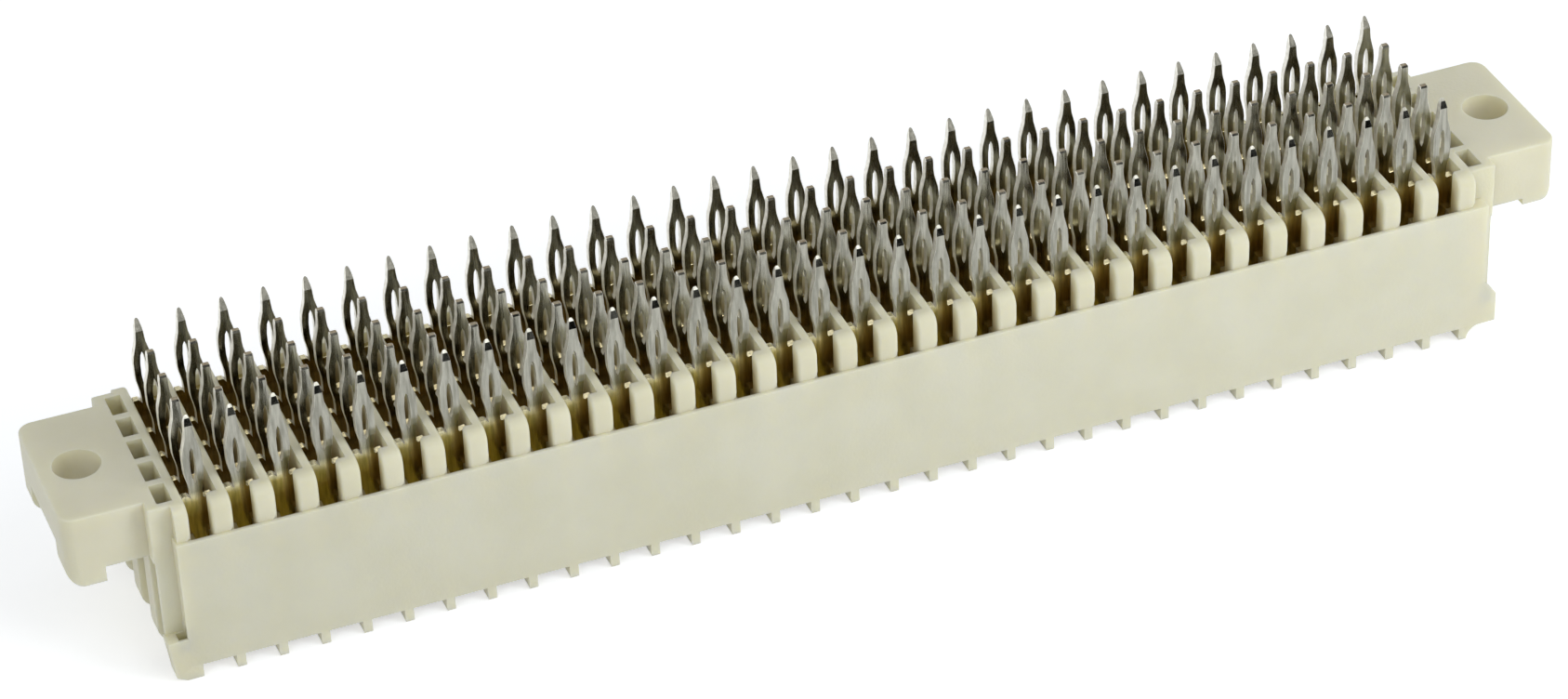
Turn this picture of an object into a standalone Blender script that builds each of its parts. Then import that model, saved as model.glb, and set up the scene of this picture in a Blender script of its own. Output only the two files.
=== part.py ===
# Connector socket with five rows of thirty-two press-in contacts.
# The housing is one moulding. Its flat upper face sits under the circuit board, the tails of
# the contacts stand up through that board, and the mating side with its comb points down.
# Lengths are in metres, +X runs along the rows, +Y points to the back and +Z up.
# The origin is the middle of the plane on which the comb teeth stand.
import math

import bmesh
import bpy
from mathutils import Vector

# Contact field: two outer rows with springs, and the inner rows between them
PITCH = 0.00254
COLUMNS = 32
INNER_ROWS = 3
OUTER_ROW = (INNER_ROWS + 1) // 2
FIELD_SHIFT = 0.0004
HALF_FIELD = (COLUMNS - 1) * PITCH / 2
END_RIB = HALF_FIELD + PITCH / 2

# Heights, from the comb teeth upwards
WALL_FOOT = 0.00087
SLOT_DEPTH = 0.00673
FLOOR_THICKNESS = 0.001
PANEL_RISE = 0.00099
CELL_DEPTH = 0.00318
SLOT_ROOF = WALL_FOOT + SLOT_DEPTH
CELL_FLOOR = SLOT_ROOF + FLOOR_THICKNESS
PANEL_TOP = CELL_FLOOR + PANEL_RISE
BOARD_FACE = CELL_FLOOR + CELL_DEPTH

# Section of the moulding, from the mating block outwards
BLOCK_MARGIN = 0.00039
SLOT_WIDTH = 0.00155
CHANNEL_DEPTH = 0.00085
SKIN_THICKNESS = 0.0004
PANEL_THICKNESS = 0.0003
RIB_ROUNDING = 0.0008
BLOCK_HALF = INNER_ROWS * PITCH / 2 + BLOCK_MARGIN
WALL_INSIDE = BLOCK_HALF + SLOT_WIDTH
SKIN_INSIDE = WALL_INSIDE + CHANNEL_DEPTH
WALL_OUTSIDE = SKIN_INSIDE + SKIN_THICKNESS
DECK_HALF = WALL_OUTSIDE - PANEL_THICKNESS

# Ends of the long panels, beyond the last rib
PANEL_LEFT = -END_RIB - 0.00071
PANEL_RIGHT = END_RIB + 0.00106

# Cells between the ribs, and the room that a contact has in its cell and its slot
RIB = 0.00056
CELL_WIDTH = PITCH - RIB
CONTACT_CLEARANCE = 0.00004

# Comb inside the outer walls: a divider beside each spring, which ends in a tooth
COMB_SHIFT = -0.00029
TOOTH_WIDTH = 0.00054

# Holes of the inner rows in the mating block
MATING_HOLE_X = 0.0009
MATING_HOLE_Y = 0.0013
MATING_HOLE_DEPTH = 0.0055

# Strip with pockets at each end of the contact field
POCKETS = 5
POCKET_WIDTH = 0.00093
POCKET_WALL = 0.00048
POCKET_DEPTH = 0.0036
STRIP_WALL = 0.0007
STRIP_HALF = 0.006
STRIP_HEIGHT = 0.00373
POCKET_START = END_RIB + RIB / 2
STRIP_END = POCKET_START + POCKET_WIDTH + STRIP_WALL
STRIP_FOOT = BOARD_FACE - STRIP_HEIGHT

# Fins on the ends of the mating block, and thin lips beside the outer walls
FIN_SET_BACK = 0.0001
FIN_THICKNESS = 0.00145
FIN_CHAMFER = 0.0006
FIN_END = STRIP_END - FIN_SET_BACK
LIP_THICKNESS = 0.00025

# Feet at the ends of the outer walls
FOOT_TOP = 0.00289
FOOT_LEAN = 0.0003
RIGHT_FOOT_SLOPE = 0.00106

# Mounting flanges, each with a screw hole and a recess for the nut
FLANGE_LENGTH = 0.00475
FLANGE_HALF = 0.0051
FLANGE_CORNER = 0.0009
LEG_LENGTH = 0.0022
LEFT_LEG_HEIGHT = 0.00473
RIGHT_LEG_HEIGHT = 0.00418
LEG_ROUNDING = 0.001
HOLE_OFFSET = 0.00245
HOLE_DIAMETER = 0.00285
RECESS_HALF = 0.0028
RECESS_REACH = 0.0019
RECESS_COVER = 0.00273
FLANGE_END = STRIP_END + FLANGE_LENGTH
HOLE_X = STRIP_END + HOLE_OFFSET

# Contacts, with heights measured down from the tip of the tail
METAL = 0.00045
TAIL_LENGTH = 0.00487
INNER_TIP_DROP = 0.0005
NECK_HALF = 0.00027
EYE_HALF = 0.00057
ROOT_HALF = 0.00033
STEM_HALF = 0.00045
NECK_DROP = 0.00135
EYE_DROP = 0.00335
SHOULDER_DROP = 0.0056
SLIT_HALF = 0.00014
SLIT_TOP_DROP = 0.0023
SLIT_FOOT_DROP = 0.00495
OUTER_TIP = BOARD_FACE + TAIL_LENGTH

# Spring legs of the outer rows, which run down the channels and bow out into the slots
LEG_BEND = 0.0052
LEG_FOOT = 0.0016
LEG_BACK = SKIN_INSIDE - METAL / 2 - 0.0001
LEG_BOW = WALL_INSIDE - 0.0004

# How far shapes that are joined reach into each other
WELD = 0.0003
ARC_STEPS = 3
RIB_ARC_STEPS = 2
HOLE_STEPS = 20


def clear_scene():
    for thing in list(bpy.data.objects):
        bpy.data.objects.remove(thing, do_unlink=True)


def make_material(name, colour, roughness, metallic):
    material = bpy.data.materials.new(name)
    material.use_nodes = True
    shader = material.node_tree.nodes["Principled BSDF"]
    shader.inputs["Base Color"].default_value = (*colour, 1.0)
    shader.inputs["Roughness"].default_value = roughness
    shader.inputs["Metallic"].default_value = metallic
    return material


def make_object(name, shape, material=None):
    bmesh.ops.recalc_face_normals(shape, faces=shape.faces)
    mesh = bpy.data.meshes.new(name)
    shape.to_mesh(mesh)
    shape.free()
    if material:
        mesh.materials.append(material)
    thing = bpy.data.objects.new(name, mesh)
    bpy.context.scene.collection.objects.link(thing)
    return thing


def add_block(shape, low, high):
    made = bmesh.ops.create_cube(shape, size=1.0)
    low = Vector(low)
    size = Vector(high) - low
    for vert in made["verts"]:
        part = vert.co + Vector((0.5, 0.5, 0.5))
        vert.co = low + Vector((part.x * size.x, part.y * size.y, part.z * size.z))


def add_prism(shape, outlines, place, travel):
    """Make a face of each outline, joined where they share points, and extrude them."""
    verts = {}
    faces = []
    for outline in outlines:
        for point in outline:
            if point not in verts:
                verts[point] = shape.verts.new(place(*point))
        faces.append(shape.faces.new([verts[point] for point in outline]))
    moved = bmesh.ops.extrude_face_region(shape, geom=faces, use_keep_orig=True)
    ends = [item for item in moved["geom"] if isinstance(item, bmesh.types.BMVert)]
    bmesh.ops.translate(shape, verts=ends, vec=travel)


def along_x(start):
    return lambda y, z: Vector((start, y, z))


def along_y(start):
    return lambda x, z: Vector((x, start, z))


def arc(centre, radius, first, last, steps=ARC_STEPS):
    """Points on a round corner, with angles in degrees."""
    points = []
    for step in range(steps + 1):
        angle = math.radians(first + (last - first) * step / steps)
        points.append((centre[0] + radius * math.cos(angle), centre[1] + radius * math.sin(angle)))
    return points


def mirrored(points):
    """The same points on the other side of the middle, in the order that closes an outline."""
    return [(-across, height) for across, height in reversed(points)]


def column_x(column):
    return column * PITCH - HALF_FIELD


def row_y(row):
    """The middle row is row 0, and rows in front of it are negative."""
    return row * PITCH + FIELD_SHIFT


def divider_x(divider):
    """Divider 0 stands to the left of the first column."""
    return column_x(divider) - PITCH / 2 + COMB_SHIFT


def combine(target, tool, operation):
    """Join a tool to the target, or cut it away, with a live Boolean."""
    tool.hide_render = True
    tool.display_type = "WIRE"
    modifier = target.modifiers.new(tool.name, "BOOLEAN")
    modifier.operation = operation
    modifier.solver = "EXACT"
    modifier.object = tool


def moulding_section():
    """The section: mating block, slots, thin outer walls, and the rounded ends of the ribs."""
    corner = DECK_HALF - RIB_ROUNDING
    half = [(BLOCK_HALF, WALL_FOOT), (BLOCK_HALF, SLOT_ROOF), (SKIN_INSIDE, SLOT_ROOF)]
    half += [(SKIN_INSIDE, WALL_FOOT), (WALL_OUTSIDE, WALL_FOOT), (WALL_OUTSIDE, PANEL_TOP)]
    half += [(DECK_HALF, PANEL_TOP)]
    half += arc((corner, BOARD_FACE - RIB_ROUNDING), RIB_ROUNDING, 0, 90, RIB_ARC_STEPS)
    return half + mirrored(half)


def make_moulding(material):
    shape = bmesh.new()
    travel = Vector((PANEL_RIGHT - PANEL_LEFT, 0, 0))
    add_prism(shape, [moulding_section()], along_x(PANEL_LEFT), travel)
    return make_object("housing", shape, material)


def make_strips():
    """The solid strip at each end, under which the slots stay open."""
    shape = bmesh.new()
    for side in (-1, 1):
        ends = sorted((side * END_RIB, side * STRIP_END))
        add_block(shape, (ends[0], -STRIP_HALF, STRIP_FOOT), (ends[1], STRIP_HALF, BOARD_FACE))
    return make_object("add_strips", shape)


def make_flange(name, side, leg_height):
    shape = bmesh.new()
    leg_foot = BOARD_FACE - leg_height
    root = STRIP_END - WELD
    leg = FLANGE_END - LEG_LENGTH
    outline = [(root, BOARD_FACE), (root, STRIP_FOOT), (leg, STRIP_FOOT), (leg, leg_foot)]
    centre = (FLANGE_END - LEG_ROUNDING, leg_foot + LEG_ROUNDING)
    outline += arc(centre, LEG_ROUNDING, -90, 0)
    outline += [(FLANGE_END, BOARD_FACE)]
    outline = [(side * x, z) for x, z in outline]
    add_prism(shape, [outline], along_y(-FLANGE_HALF), Vector((0, 2 * FLANGE_HALF, 0)))
    corners = []
    for edge in shape.edges:
        at_end = all(abs(vert.co.x) > FLANGE_END - LEG_ROUNDING / 10 for vert in edge.verts)
        upright = abs(edge.verts[0].co.z - edge.verts[1].co.z) > LEG_ROUNDING
        if at_end and upright:
            corners.append(edge)
    bmesh.ops.bevel(shape, geom=corners, offset=FLANGE_CORNER, segments=ARC_STEPS,
                    profile=0.5, affect="EDGES")
    return make_object(name, shape)


def make_fins():
    """Three upright fins on each end of the mating block, chamfered where they lead in."""
    shape = bmesh.new()
    outer = BLOCK_HALF - FIN_THICKNESS / 2
    for side, panel in ((-1, PANEL_LEFT), (1, PANEL_RIGHT)):
        root = abs(panel) - WELD
        outline = [(root, WALL_FOOT), (FIN_END - FIN_CHAMFER, WALL_FOOT)]
        outline += [(FIN_END, WALL_FOOT + 2 * FIN_CHAMFER), (FIN_END, STRIP_FOOT + WELD)]
        outline += [(root, STRIP_FOOT + WELD)]
        outline = [(side * x, z) for x, z in outline]
        for centre in (-outer, 0, outer):
            start = centre - FIN_THICKNESS / 2
            add_prism(shape, [outline], along_y(start), Vector((0, FIN_THICKNESS, 0)))
    return make_object("add_fins", shape)


def make_lips():
    """Thin lips that close the inner side of the groove at each end of an outer wall."""
    shape = bmesh.new()
    for side, panel in ((-1, PANEL_LEFT), (1, PANEL_RIGHT)):
        ends = sorted((side * (abs(panel) - WELD), side * FIN_END))
        for face in (-1, 1):
            walls = sorted((face * WALL_INSIDE, face * (WALL_INSIDE + LIP_THICKNESS)))
            add_block(shape, (ends[0], walls[0], FOOT_TOP - WELD),
                      (ends[1], walls[1], STRIP_FOOT + WELD))
    return make_object("add_lips", shape)


def left_end_outline():
    """Left end of an outer wall, with the foot that stands on the level of the teeth."""
    inner = divider_x(0) + TOOTH_WIDTH / 2
    heel = -STRIP_END
    outline = [(inner, 0), (inner, SLOT_ROOF + WELD), (PANEL_LEFT, SLOT_ROOF + WELD)]
    outline += [(PANEL_LEFT, FOOT_TOP), (heel, FOOT_TOP), (heel + FOOT_LEAN, FOOT_LEAN)]
    return outline + [(heel + 3 * FOOT_LEAN, 0)]


def right_end_outline():
    """Right end: its foot is level with the wall and curves into the last tooth."""
    inner = divider_x(COLUMNS) - TOOTH_WIDTH / 2
    bend = arc((inner + TOOTH_WIDTH + WALL_FOOT, 0), WALL_FOOT, 180, 90)
    outline = [(inner, 0)] + bend + [(STRIP_END, WALL_FOOT), (STRIP_END, FOOT_TOP)]
    outline += [(PANEL_RIGHT, FOOT_TOP + RIGHT_FOOT_SLOPE), (PANEL_RIGHT, SLOT_ROOF + WELD)]
    return outline + [(inner, SLOT_ROOF + WELD)]


def make_comb():
    """Both outer walls' ends and dividers; each divider shows as a tooth below its wall."""
    shape = bmesh.new()
    for face in (-1, 1):
        walls = sorted((face * WALL_INSIDE, face * WALL_OUTSIDE))
        travel = Vector((0, walls[1] - walls[0], 0))
        add_prism(shape, [left_end_outline()], along_y(walls[0]), travel)
        add_prism(shape, [right_end_outline()], along_y(walls[0]), travel)
        for divider in range(1, COLUMNS):
            middle = divider_x(divider)
            add_block(shape, (middle - TOOTH_WIDTH / 2, walls[0], 0),
                      (middle + TOOTH_WIDTH / 2, walls[1], SLOT_ROOF + WELD))
    return make_object("add_comb", shape)


def cut_cells():
    """The open cell of each column, from one outer wall to the other."""
    shape = bmesh.new()
    for column in range(COLUMNS):
        middle = column_x(column)
        add_block(shape, (middle - CELL_WIDTH / 2, -DECK_HALF, CELL_FLOOR),
                  (middle + CELL_WIDTH / 2, DECK_HALF, BOARD_FACE + WELD))
    return make_object("cut_cells", shape)


def cut_stem_slots():
    """Openings in the floor, by which stems and springs of the front row are pressed in."""
    shape = bmesh.new()
    half_x = STEM_HALF + CONTACT_CLEARANCE
    end_y = row_y(-OUTER_ROW) + METAL / 2 + CONTACT_CLEARANCE
    for column in range(COLUMNS):
        x = column_x(column)
        add_block(shape, (x - half_x, -SKIN_INSIDE, SLOT_ROOF - WELD),
                  (x + half_x, end_y, CELL_FLOOR + WELD))
    return make_object("cut_stem_slots", shape)


def cut_mating_holes():
    """Holes in the mating block for the pins of the other half, ending blind."""
    shape = bmesh.new()
    roof = WALL_FOOT + MATING_HOLE_DEPTH
    for column in range(COLUMNS):
        for row in range(INNER_ROWS):
            x = column_x(column)
            y = (row - (INNER_ROWS - 1) / 2) * PITCH
            add_block(shape, (x - MATING_HOLE_X / 2, y - MATING_HOLE_Y / 2, 0),
                      (x + MATING_HOLE_X / 2, y + MATING_HOLE_Y / 2, roof))
    return make_object("cut_mating_holes", shape)


def cut_pockets():
    """Moulded pockets in the strips, which keep the plastic at an even thickness."""
    shape = bmesh.new()
    length = (2 * STRIP_HALF - (POCKETS + 1) * POCKET_WALL) / POCKETS
    for side in (-1, 1):
        ends = sorted((side * POCKET_START, side * (POCKET_START + POCKET_WIDTH)))
        for pocket in range(POCKETS):
            start = POCKET_WALL - STRIP_HALF + pocket * (length + POCKET_WALL)
            add_block(shape, (ends[0], start, BOARD_FACE - POCKET_DEPTH),
                      (ends[1], start + length, BOARD_FACE + WELD))
    return make_object("cut_pockets", shape)


def cut_recesses():
    """Recess for the nut below each flange, open at the end of the part."""
    shape = bmesh.new()
    for side in (-1, 1):
        ends = sorted((side * (HOLE_X - RECESS_REACH), side * (FLANGE_END + WELD)))
        add_block(shape, (ends[0], -RECESS_HALF, 0),
                  (ends[1], RECESS_HALF, BOARD_FACE - RECESS_COVER))
    return make_object("cut_recesses", shape)


def cut_holes():
    """The screw hole of each flange."""
    shape = bmesh.new()
    for side in (-1, 1):
        made = bmesh.ops.create_cone(shape, cap_ends=True, segments=HOLE_STEPS,
                                     depth=BOARD_FACE, radius1=HOLE_DIAMETER / 2,
                                     radius2=HOLE_DIAMETER / 2)
        centre = Vector((side * HOLE_X, 0, BOARD_FACE))
        bmesh.ops.translate(shape, verts=made["verts"], vec=centre)
    return make_object("cut_holes", shape)


def contact_outline(tip, blade_foot, leg_start=None):
    """A contact seen from the front: tail with its eye, shoulders, blade and stem."""
    blade = CELL_WIDTH / 2 - CONTACT_CLEARANCE
    shoulder = tip - SHOULDER_DROP
    half = [(NECK_HALF, tip), (EYE_HALF, tip - EYE_DROP), (ROOT_HALF, shoulder)]
    half += [(blade, shoulder), (blade, blade_foot)]
    if leg_start:
        half += [(STEM_HALF, blade_foot), (STEM_HALF, leg_start)]
    return half + mirrored(half)


def slit_outlines(outline, tip):
    """The same contact as two faces, which leave the slit of its eye open between them."""
    neck = (NECK_HALF, tip - NECK_DROP)
    upper = [outline[0], neck, outline[1]]
    lower = outline[1:-1]
    above = [(SLIT_HALF, tip - EYE_DROP), (0, tip - SLIT_TOP_DROP), (-SLIT_HALF, tip - EYE_DROP)]
    below = [(-SLIT_HALF, tip - EYE_DROP), (0, tip - SLIT_FOOT_DROP), (SLIT_HALF, tip - EYE_DROP)]
    return [upper + above + mirrored(upper), lower + below]


def add_contact(shape, x, y, outlines):
    """Cut the outlines out of sheet metal that stands across the part."""
    moved = [[(x + across, height) for across, height in outline] for outline in outlines]
    add_prism(shape, moved, along_y(y - METAL / 2), Vector((0, METAL, 0)))


def bend_legs(shape, y, face, leg_start):
    """Draw the foot of every stem out to its channel, and from there back into the slot."""
    level = leg_start + METAL / 10
    feet = [item for item in shape.faces if all(vert.co.z < level for vert in item.verts)]
    place = Vector((0, y, leg_start))
    for stop in (Vector((0, face * LEG_BACK, LEG_BEND)), Vector((0, face * LEG_BOW, LEG_FOOT))):
        moved = bmesh.ops.extrude_face_region(shape, geom=feet)["geom"]
        bmesh.ops.delete(shape, geom=feet, context="FACES_ONLY")
        feet = [item for item in moved if isinstance(item, bmesh.types.BMFace)]
        ends = [item for item in moved if isinstance(item, bmesh.types.BMVert)]
        bmesh.ops.translate(shape, verts=ends, vec=stop - place)
        place = stop


def make_fused_contacts():
    """The contacts of all rows behind the front row, which are part of the housing's solid."""
    inner = bmesh.new()
    rear = bmesh.new()
    foot = CELL_FLOOR - WELD
    leg_start = SLOT_ROOF + WELD
    y = row_y(OUTER_ROW)
    for column in range(COLUMNS):
        x = column_x(column)
        for row in range(1 - OUTER_ROW, OUTER_ROW):
            add_contact(inner, x, row_y(row), [contact_outline(OUTER_TIP - INNER_TIP_DROP, foot)])
        add_contact(rear, x, y, [contact_outline(OUTER_TIP, foot, leg_start)])
    bend_legs(rear, y, 1, leg_start)
    return make_object("add_inner_rows", inner), make_object("add_rear_row", rear)


def make_front_contacts(material):
    """The front row: stamped and bent contacts, each a piece of its own."""
    shape = bmesh.new()
    leg_start = SLOT_ROOF - METAL
    y = row_y(-OUTER_ROW)
    outline = contact_outline(OUTER_TIP, CELL_FLOOR + CONTACT_CLEARANCE, leg_start)
    add_contact(shape, 0, y, slit_outlines(outline, OUTER_TIP))
    bend_legs(shape, y, -1, leg_start)
    first = make_object("front_contact_01", shape, material)
    first.location.x = column_x(0)
    for column in range(1, COLUMNS):
        copy = first.copy()
        copy.name = f"front_contact_{column + 1:02d}"
        copy.location.x = column_x(column)
        bpy.context.scene.collection.objects.link(copy)


def make_housing(material):
    housing = make_moulding(material)
    combine(housing, make_strips(), "UNION")
    combine(housing, make_flange("add_left_flange", -1, LEFT_LEG_HEIGHT), "UNION")
    combine(housing, make_flange("add_right_flange", 1, RIGHT_LEG_HEIGHT), "UNION")
    combine(housing, make_fins(), "UNION")
    combine(housing, make_lips(), "UNION")
    combine(housing, make_comb(), "UNION")
    combine(housing, cut_cells(), "DIFFERENCE")
    combine(housing, cut_stem_slots(), "DIFFERENCE")
    combine(housing, cut_mating_holes(), "DIFFERENCE")
    combine(housing, cut_pockets(), "DIFFERENCE")
    combine(housing, cut_recesses(), "DIFFERENCE")
    combine(housing, cut_holes(), "DIFFERENCE")
    for rows in make_fused_contacts():
        combine(housing, rows, "UNION")


clear_scene()
ivory = make_material("ivory_moulding", (0.66, 0.63, 0.48), 0.5, 0.0)
tin = make_material("bright_tin", (0.62, 0.60, 0.55), 0.28, 1.0)
make_housing(ivory)
make_front_contacts(tin)
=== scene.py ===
import math

import bmesh
import bpy
from mathutils import Matrix, Vector


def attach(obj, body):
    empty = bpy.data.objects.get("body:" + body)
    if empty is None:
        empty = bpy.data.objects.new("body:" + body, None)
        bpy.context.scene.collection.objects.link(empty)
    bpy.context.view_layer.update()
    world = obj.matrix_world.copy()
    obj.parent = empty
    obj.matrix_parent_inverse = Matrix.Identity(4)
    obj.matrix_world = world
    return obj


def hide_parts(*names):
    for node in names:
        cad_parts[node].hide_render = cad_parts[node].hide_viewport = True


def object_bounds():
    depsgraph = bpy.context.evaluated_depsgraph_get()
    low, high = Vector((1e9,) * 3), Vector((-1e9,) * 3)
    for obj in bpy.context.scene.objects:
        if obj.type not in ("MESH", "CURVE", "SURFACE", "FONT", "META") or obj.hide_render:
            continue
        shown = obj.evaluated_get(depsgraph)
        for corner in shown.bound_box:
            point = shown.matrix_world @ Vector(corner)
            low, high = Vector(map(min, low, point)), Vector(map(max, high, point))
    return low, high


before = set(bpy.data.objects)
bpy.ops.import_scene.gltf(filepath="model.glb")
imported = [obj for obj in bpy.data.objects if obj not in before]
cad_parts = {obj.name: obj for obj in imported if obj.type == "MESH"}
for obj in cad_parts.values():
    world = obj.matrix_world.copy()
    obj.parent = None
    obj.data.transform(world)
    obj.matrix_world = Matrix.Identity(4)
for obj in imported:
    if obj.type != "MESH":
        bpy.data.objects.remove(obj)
cad_low, cad_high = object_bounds()


# Housing walls, floor and mating block
# The long part of the ivory moulding: glass-filled plastic, injection moulded in one shot.
# A solid block with a slot on each side of it hangs below the floor of the contact cells.

PITCH = 0.00254
COLUMNS = 32
INNER_ROWS = 3
FIELD_SHIFT = 0.0004
WALL_FOOT = 0.00087
SLOT_ROOF = 0.0076
CELL_FLOOR = 0.0086
PANEL_TOP = 0.00959
BOARD_FACE = 0.01178
BLOCK_HALF = 0.0042
WALL_INSIDE = 0.00575
SKIN_INSIDE = 0.0066
RIB_WIDTH = 0.00056
OVERLAP = 0.0003
EDGE_ROUNDING = 0.00007
EDGE_STEPS = 2
SEAM_STEP = 0.00001

wall_outside = cad_high.y
deck_half = wall_outside - 0.0003
half_field = (COLUMNS - 1) * PITCH / 2
end_rib = half_field + PITCH / 2
panel_left = -end_rib - 0.00071
panel_right = end_rib + 0.00106


def only(thing):
    """Leave one piece selected and active."""
    bpy.ops.object.select_all(action="DESELECT")
    bpy.context.view_layer.objects.active = thing
    thing.select_set(True)


def add_block(name, low, high):
    """A block between two opposite corners."""
    bpy.ops.object.select_all(action="DESELECT")
    low = Vector(low)
    high = Vector(high)
    bpy.ops.mesh.primitive_cube_add(size=1, location=(low + high) / 2, scale=high - low)
    block = bpy.context.object
    block.name = name
    bpy.ops.object.transform_apply(location=True, rotation=True, scale=True)
    return block


def select_parts(thing, kind, chosen):
    """In edit mode, select the edges or faces that pass the test, and nothing else."""
    only(thing)
    bpy.ops.object.mode_set(mode="EDIT")
    bpy.ops.mesh.select_mode(type=kind)
    bpy.ops.mesh.select_all(action="DESELECT")
    shape = bmesh.from_edit_mesh(thing.data)
    parts = shape.edges if kind == "EDGE" else shape.faces
    for part in parts:
        if chosen(part):
            part.select_set(True)
    bmesh.update_edit_mesh(thing.data)


def middle(part):
    """The middle of an edge or face."""
    return sum((vert.co for vert in part.verts), Vector()) / len(part.verts)


def runs_along(edge, axis):
    """True for an edge that is parallel to axis 0, 1 or 2."""
    course = (edge.verts[1].co - edge.verts[0].co).normalized()
    return abs(course[axis]) > 0.999


def round_edges(thing, width, steps, chosen):
    """Bevel the edges that pass the test."""
    select_parts(thing, "EDGE", chosen)
    bpy.ops.mesh.bevel(offset=width, segments=steps, affect="EDGES", clamp_overlap=True)
    bpy.ops.object.mode_set(mode="OBJECT")


def repeat(thing, count, step):
    """Copies of a piece along the rows, a step apart."""
    only(thing)
    array = thing.modifiers.new("copies", "ARRAY")
    array.use_relative_offset = False
    array.use_constant_offset = True
    array.constant_offset_displace = (step, 0, 0)
    array.count = count
    bpy.ops.object.modifier_apply(modifier=array.name)
    return thing


def turn_round(thing, factors):
    """Mirror a piece in the middle planes where a factor is negative."""
    only(thing)
    bpy.ops.transform.resize(value=factors, center_override=(0, 0, 0))
    bpy.ops.object.transform_apply(location=True, rotation=True, scale=True)
    bpy.ops.object.mode_set(mode="EDIT")
    bpy.ops.mesh.select_all(action="SELECT")
    bpy.ops.mesh.normals_make_consistent(inside=False)
    bpy.ops.object.mode_set(mode="OBJECT")


def with_twin(thing, factors):
    """The piece together with its mirrored twin."""
    only(thing)
    bpy.ops.object.duplicate(linked=False)
    twin = bpy.context.object
    turn_round(twin, factors)
    return gather([thing, twin])


def mirror_x(thing):
    """The piece with its twin at the other end."""
    return with_twin(thing, (-1, 1, 1))


def mirror_y(thing):
    """The piece with its twin on the other side."""
    return with_twin(thing, (1, -1, 1))


def gather(things):
    """Join pieces into one object."""
    only(things[0])
    for thing in things:
        thing.select_set(True)
    bpy.ops.object.join()
    return things[0]


def combine(body, tool, operation):
    """Weld a tool to the body, or cut it away, and remove the tool."""
    only(body)
    boolean = body.modifiers.new("combine", "BOOLEAN")
    boolean.operation = operation
    boolean.solver = "EXACT"
    boolean.object = tool
    bpy.ops.object.modifier_apply(modifier=boolean.name)
    bpy.data.objects.remove(tool, do_unlink=True)


housing = add_block("housing_moulding", (panel_left, -wall_outside, WALL_FOOT),
                    (panel_right, wall_outside, PANEL_TOP))
round_edges(housing, EDGE_ROUNDING, EDGE_STEPS, lambda edge: True)
trough = add_block("trough", (-end_rib, -deck_half, CELL_FLOOR),
                   (end_rib, deck_half, PANEL_TOP + OVERLAP))
combine(housing, trough, "DIFFERENCE")
for face in (-1, 1):
    walls = sorted((face * BLOCK_HALF, face * SKIN_INSIDE))
    slot = add_block("slot", (panel_left - OVERLAP, walls[0], -OVERLAP),
                     (panel_right + OVERLAP, walls[1], SLOT_ROOF))
    round_edges(slot, EDGE_ROUNDING, EDGE_STEPS,
                lambda edge: runs_along(edge, 0) and middle(edge).z > WALL_FOOT)
    combine(housing, slot, "DIFFERENCE")


# Comb inside the outer walls
# Thin dividers part the channels of the outer springs, and each ends in a tooth that shows
# below the wall. At the left the last tooth is a broad foot, at the right it is cut short.

COMB_SHIFT = -0.00029
TOOTH_WIDTH = 0.00054
FOOT_TOP = 0.00289
FOOT_LEAN = 0.0003
RIGHT_FOOT_SLOPE = 0.00106
STRIP_END = 0.04255
ROUND_STEPS = 8

first_divider = -end_rib + COMB_SHIFT
comb_outside = wall_outside - SEAM_STEP
tooth = add_block("comb", (first_divider + PITCH - TOOTH_WIDTH / 2, WALL_INSIDE, 0),
                  (first_divider + PITCH + TOOTH_WIDTH / 2, comb_outside, SLOT_ROOF + OVERLAP))
round_edges(tooth, EDGE_ROUNDING, EDGE_STEPS,
            lambda edge: middle(edge).z < WALL_FOOT)
comb = mirror_y(repeat(tooth, COLUMNS - 1, PITCH))
combine(housing, comb, "UNION")


def add_sheet(name, points, travel):
    """A flat face between points in space, drawn out by a travel."""
    bpy.ops.object.select_all(action="DESELECT")
    bpy.ops.mesh.primitive_circle_add(vertices=len(points), fill_type="NGON")
    piece = bpy.context.object
    piece.name = name
    for vert, point in zip(piece.data.vertices, points):
        vert.co = point
    bpy.ops.object.mode_set(mode="EDIT")
    bpy.ops.mesh.select_all(action="SELECT")
    bpy.ops.mesh.extrude_region_move(TRANSFORM_OT_translate={"value": travel})
    bpy.ops.mesh.select_all(action="SELECT")
    bpy.ops.mesh.normals_make_consistent(inside=False)
    bpy.ops.object.mode_set(mode="OBJECT")
    return piece


def add_profile(name, outline, start, end):
    """An outline in the view from the front, drawn out from one depth to another."""
    return add_sheet(name, [(x, start, z) for x, z in outline], (0, end - start, 0))


def quarter(centre, radius, first, last, steps):
    """Points on an arc, with angles in degrees."""
    points = []
    for step in range(steps + 1):
        angle = math.radians(first + (last - first) * step / steps)
        points.append((centre[0] + radius * math.cos(angle), centre[1] + radius * math.sin(angle)))
    return points


inner = first_divider + TOOTH_WIDTH / 2
end_x = panel_left + SEAM_STEP
left_outline = [(inner, 0), (inner, SLOT_ROOF + OVERLAP), (end_x, SLOT_ROOF + OVERLAP)]
left_outline += [(end_x, FOOT_TOP), (-STRIP_END, FOOT_TOP)]
left_outline += [(-STRIP_END + FOOT_LEAN, FOOT_LEAN), (-STRIP_END + 3 * FOOT_LEAN, 0)]

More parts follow.
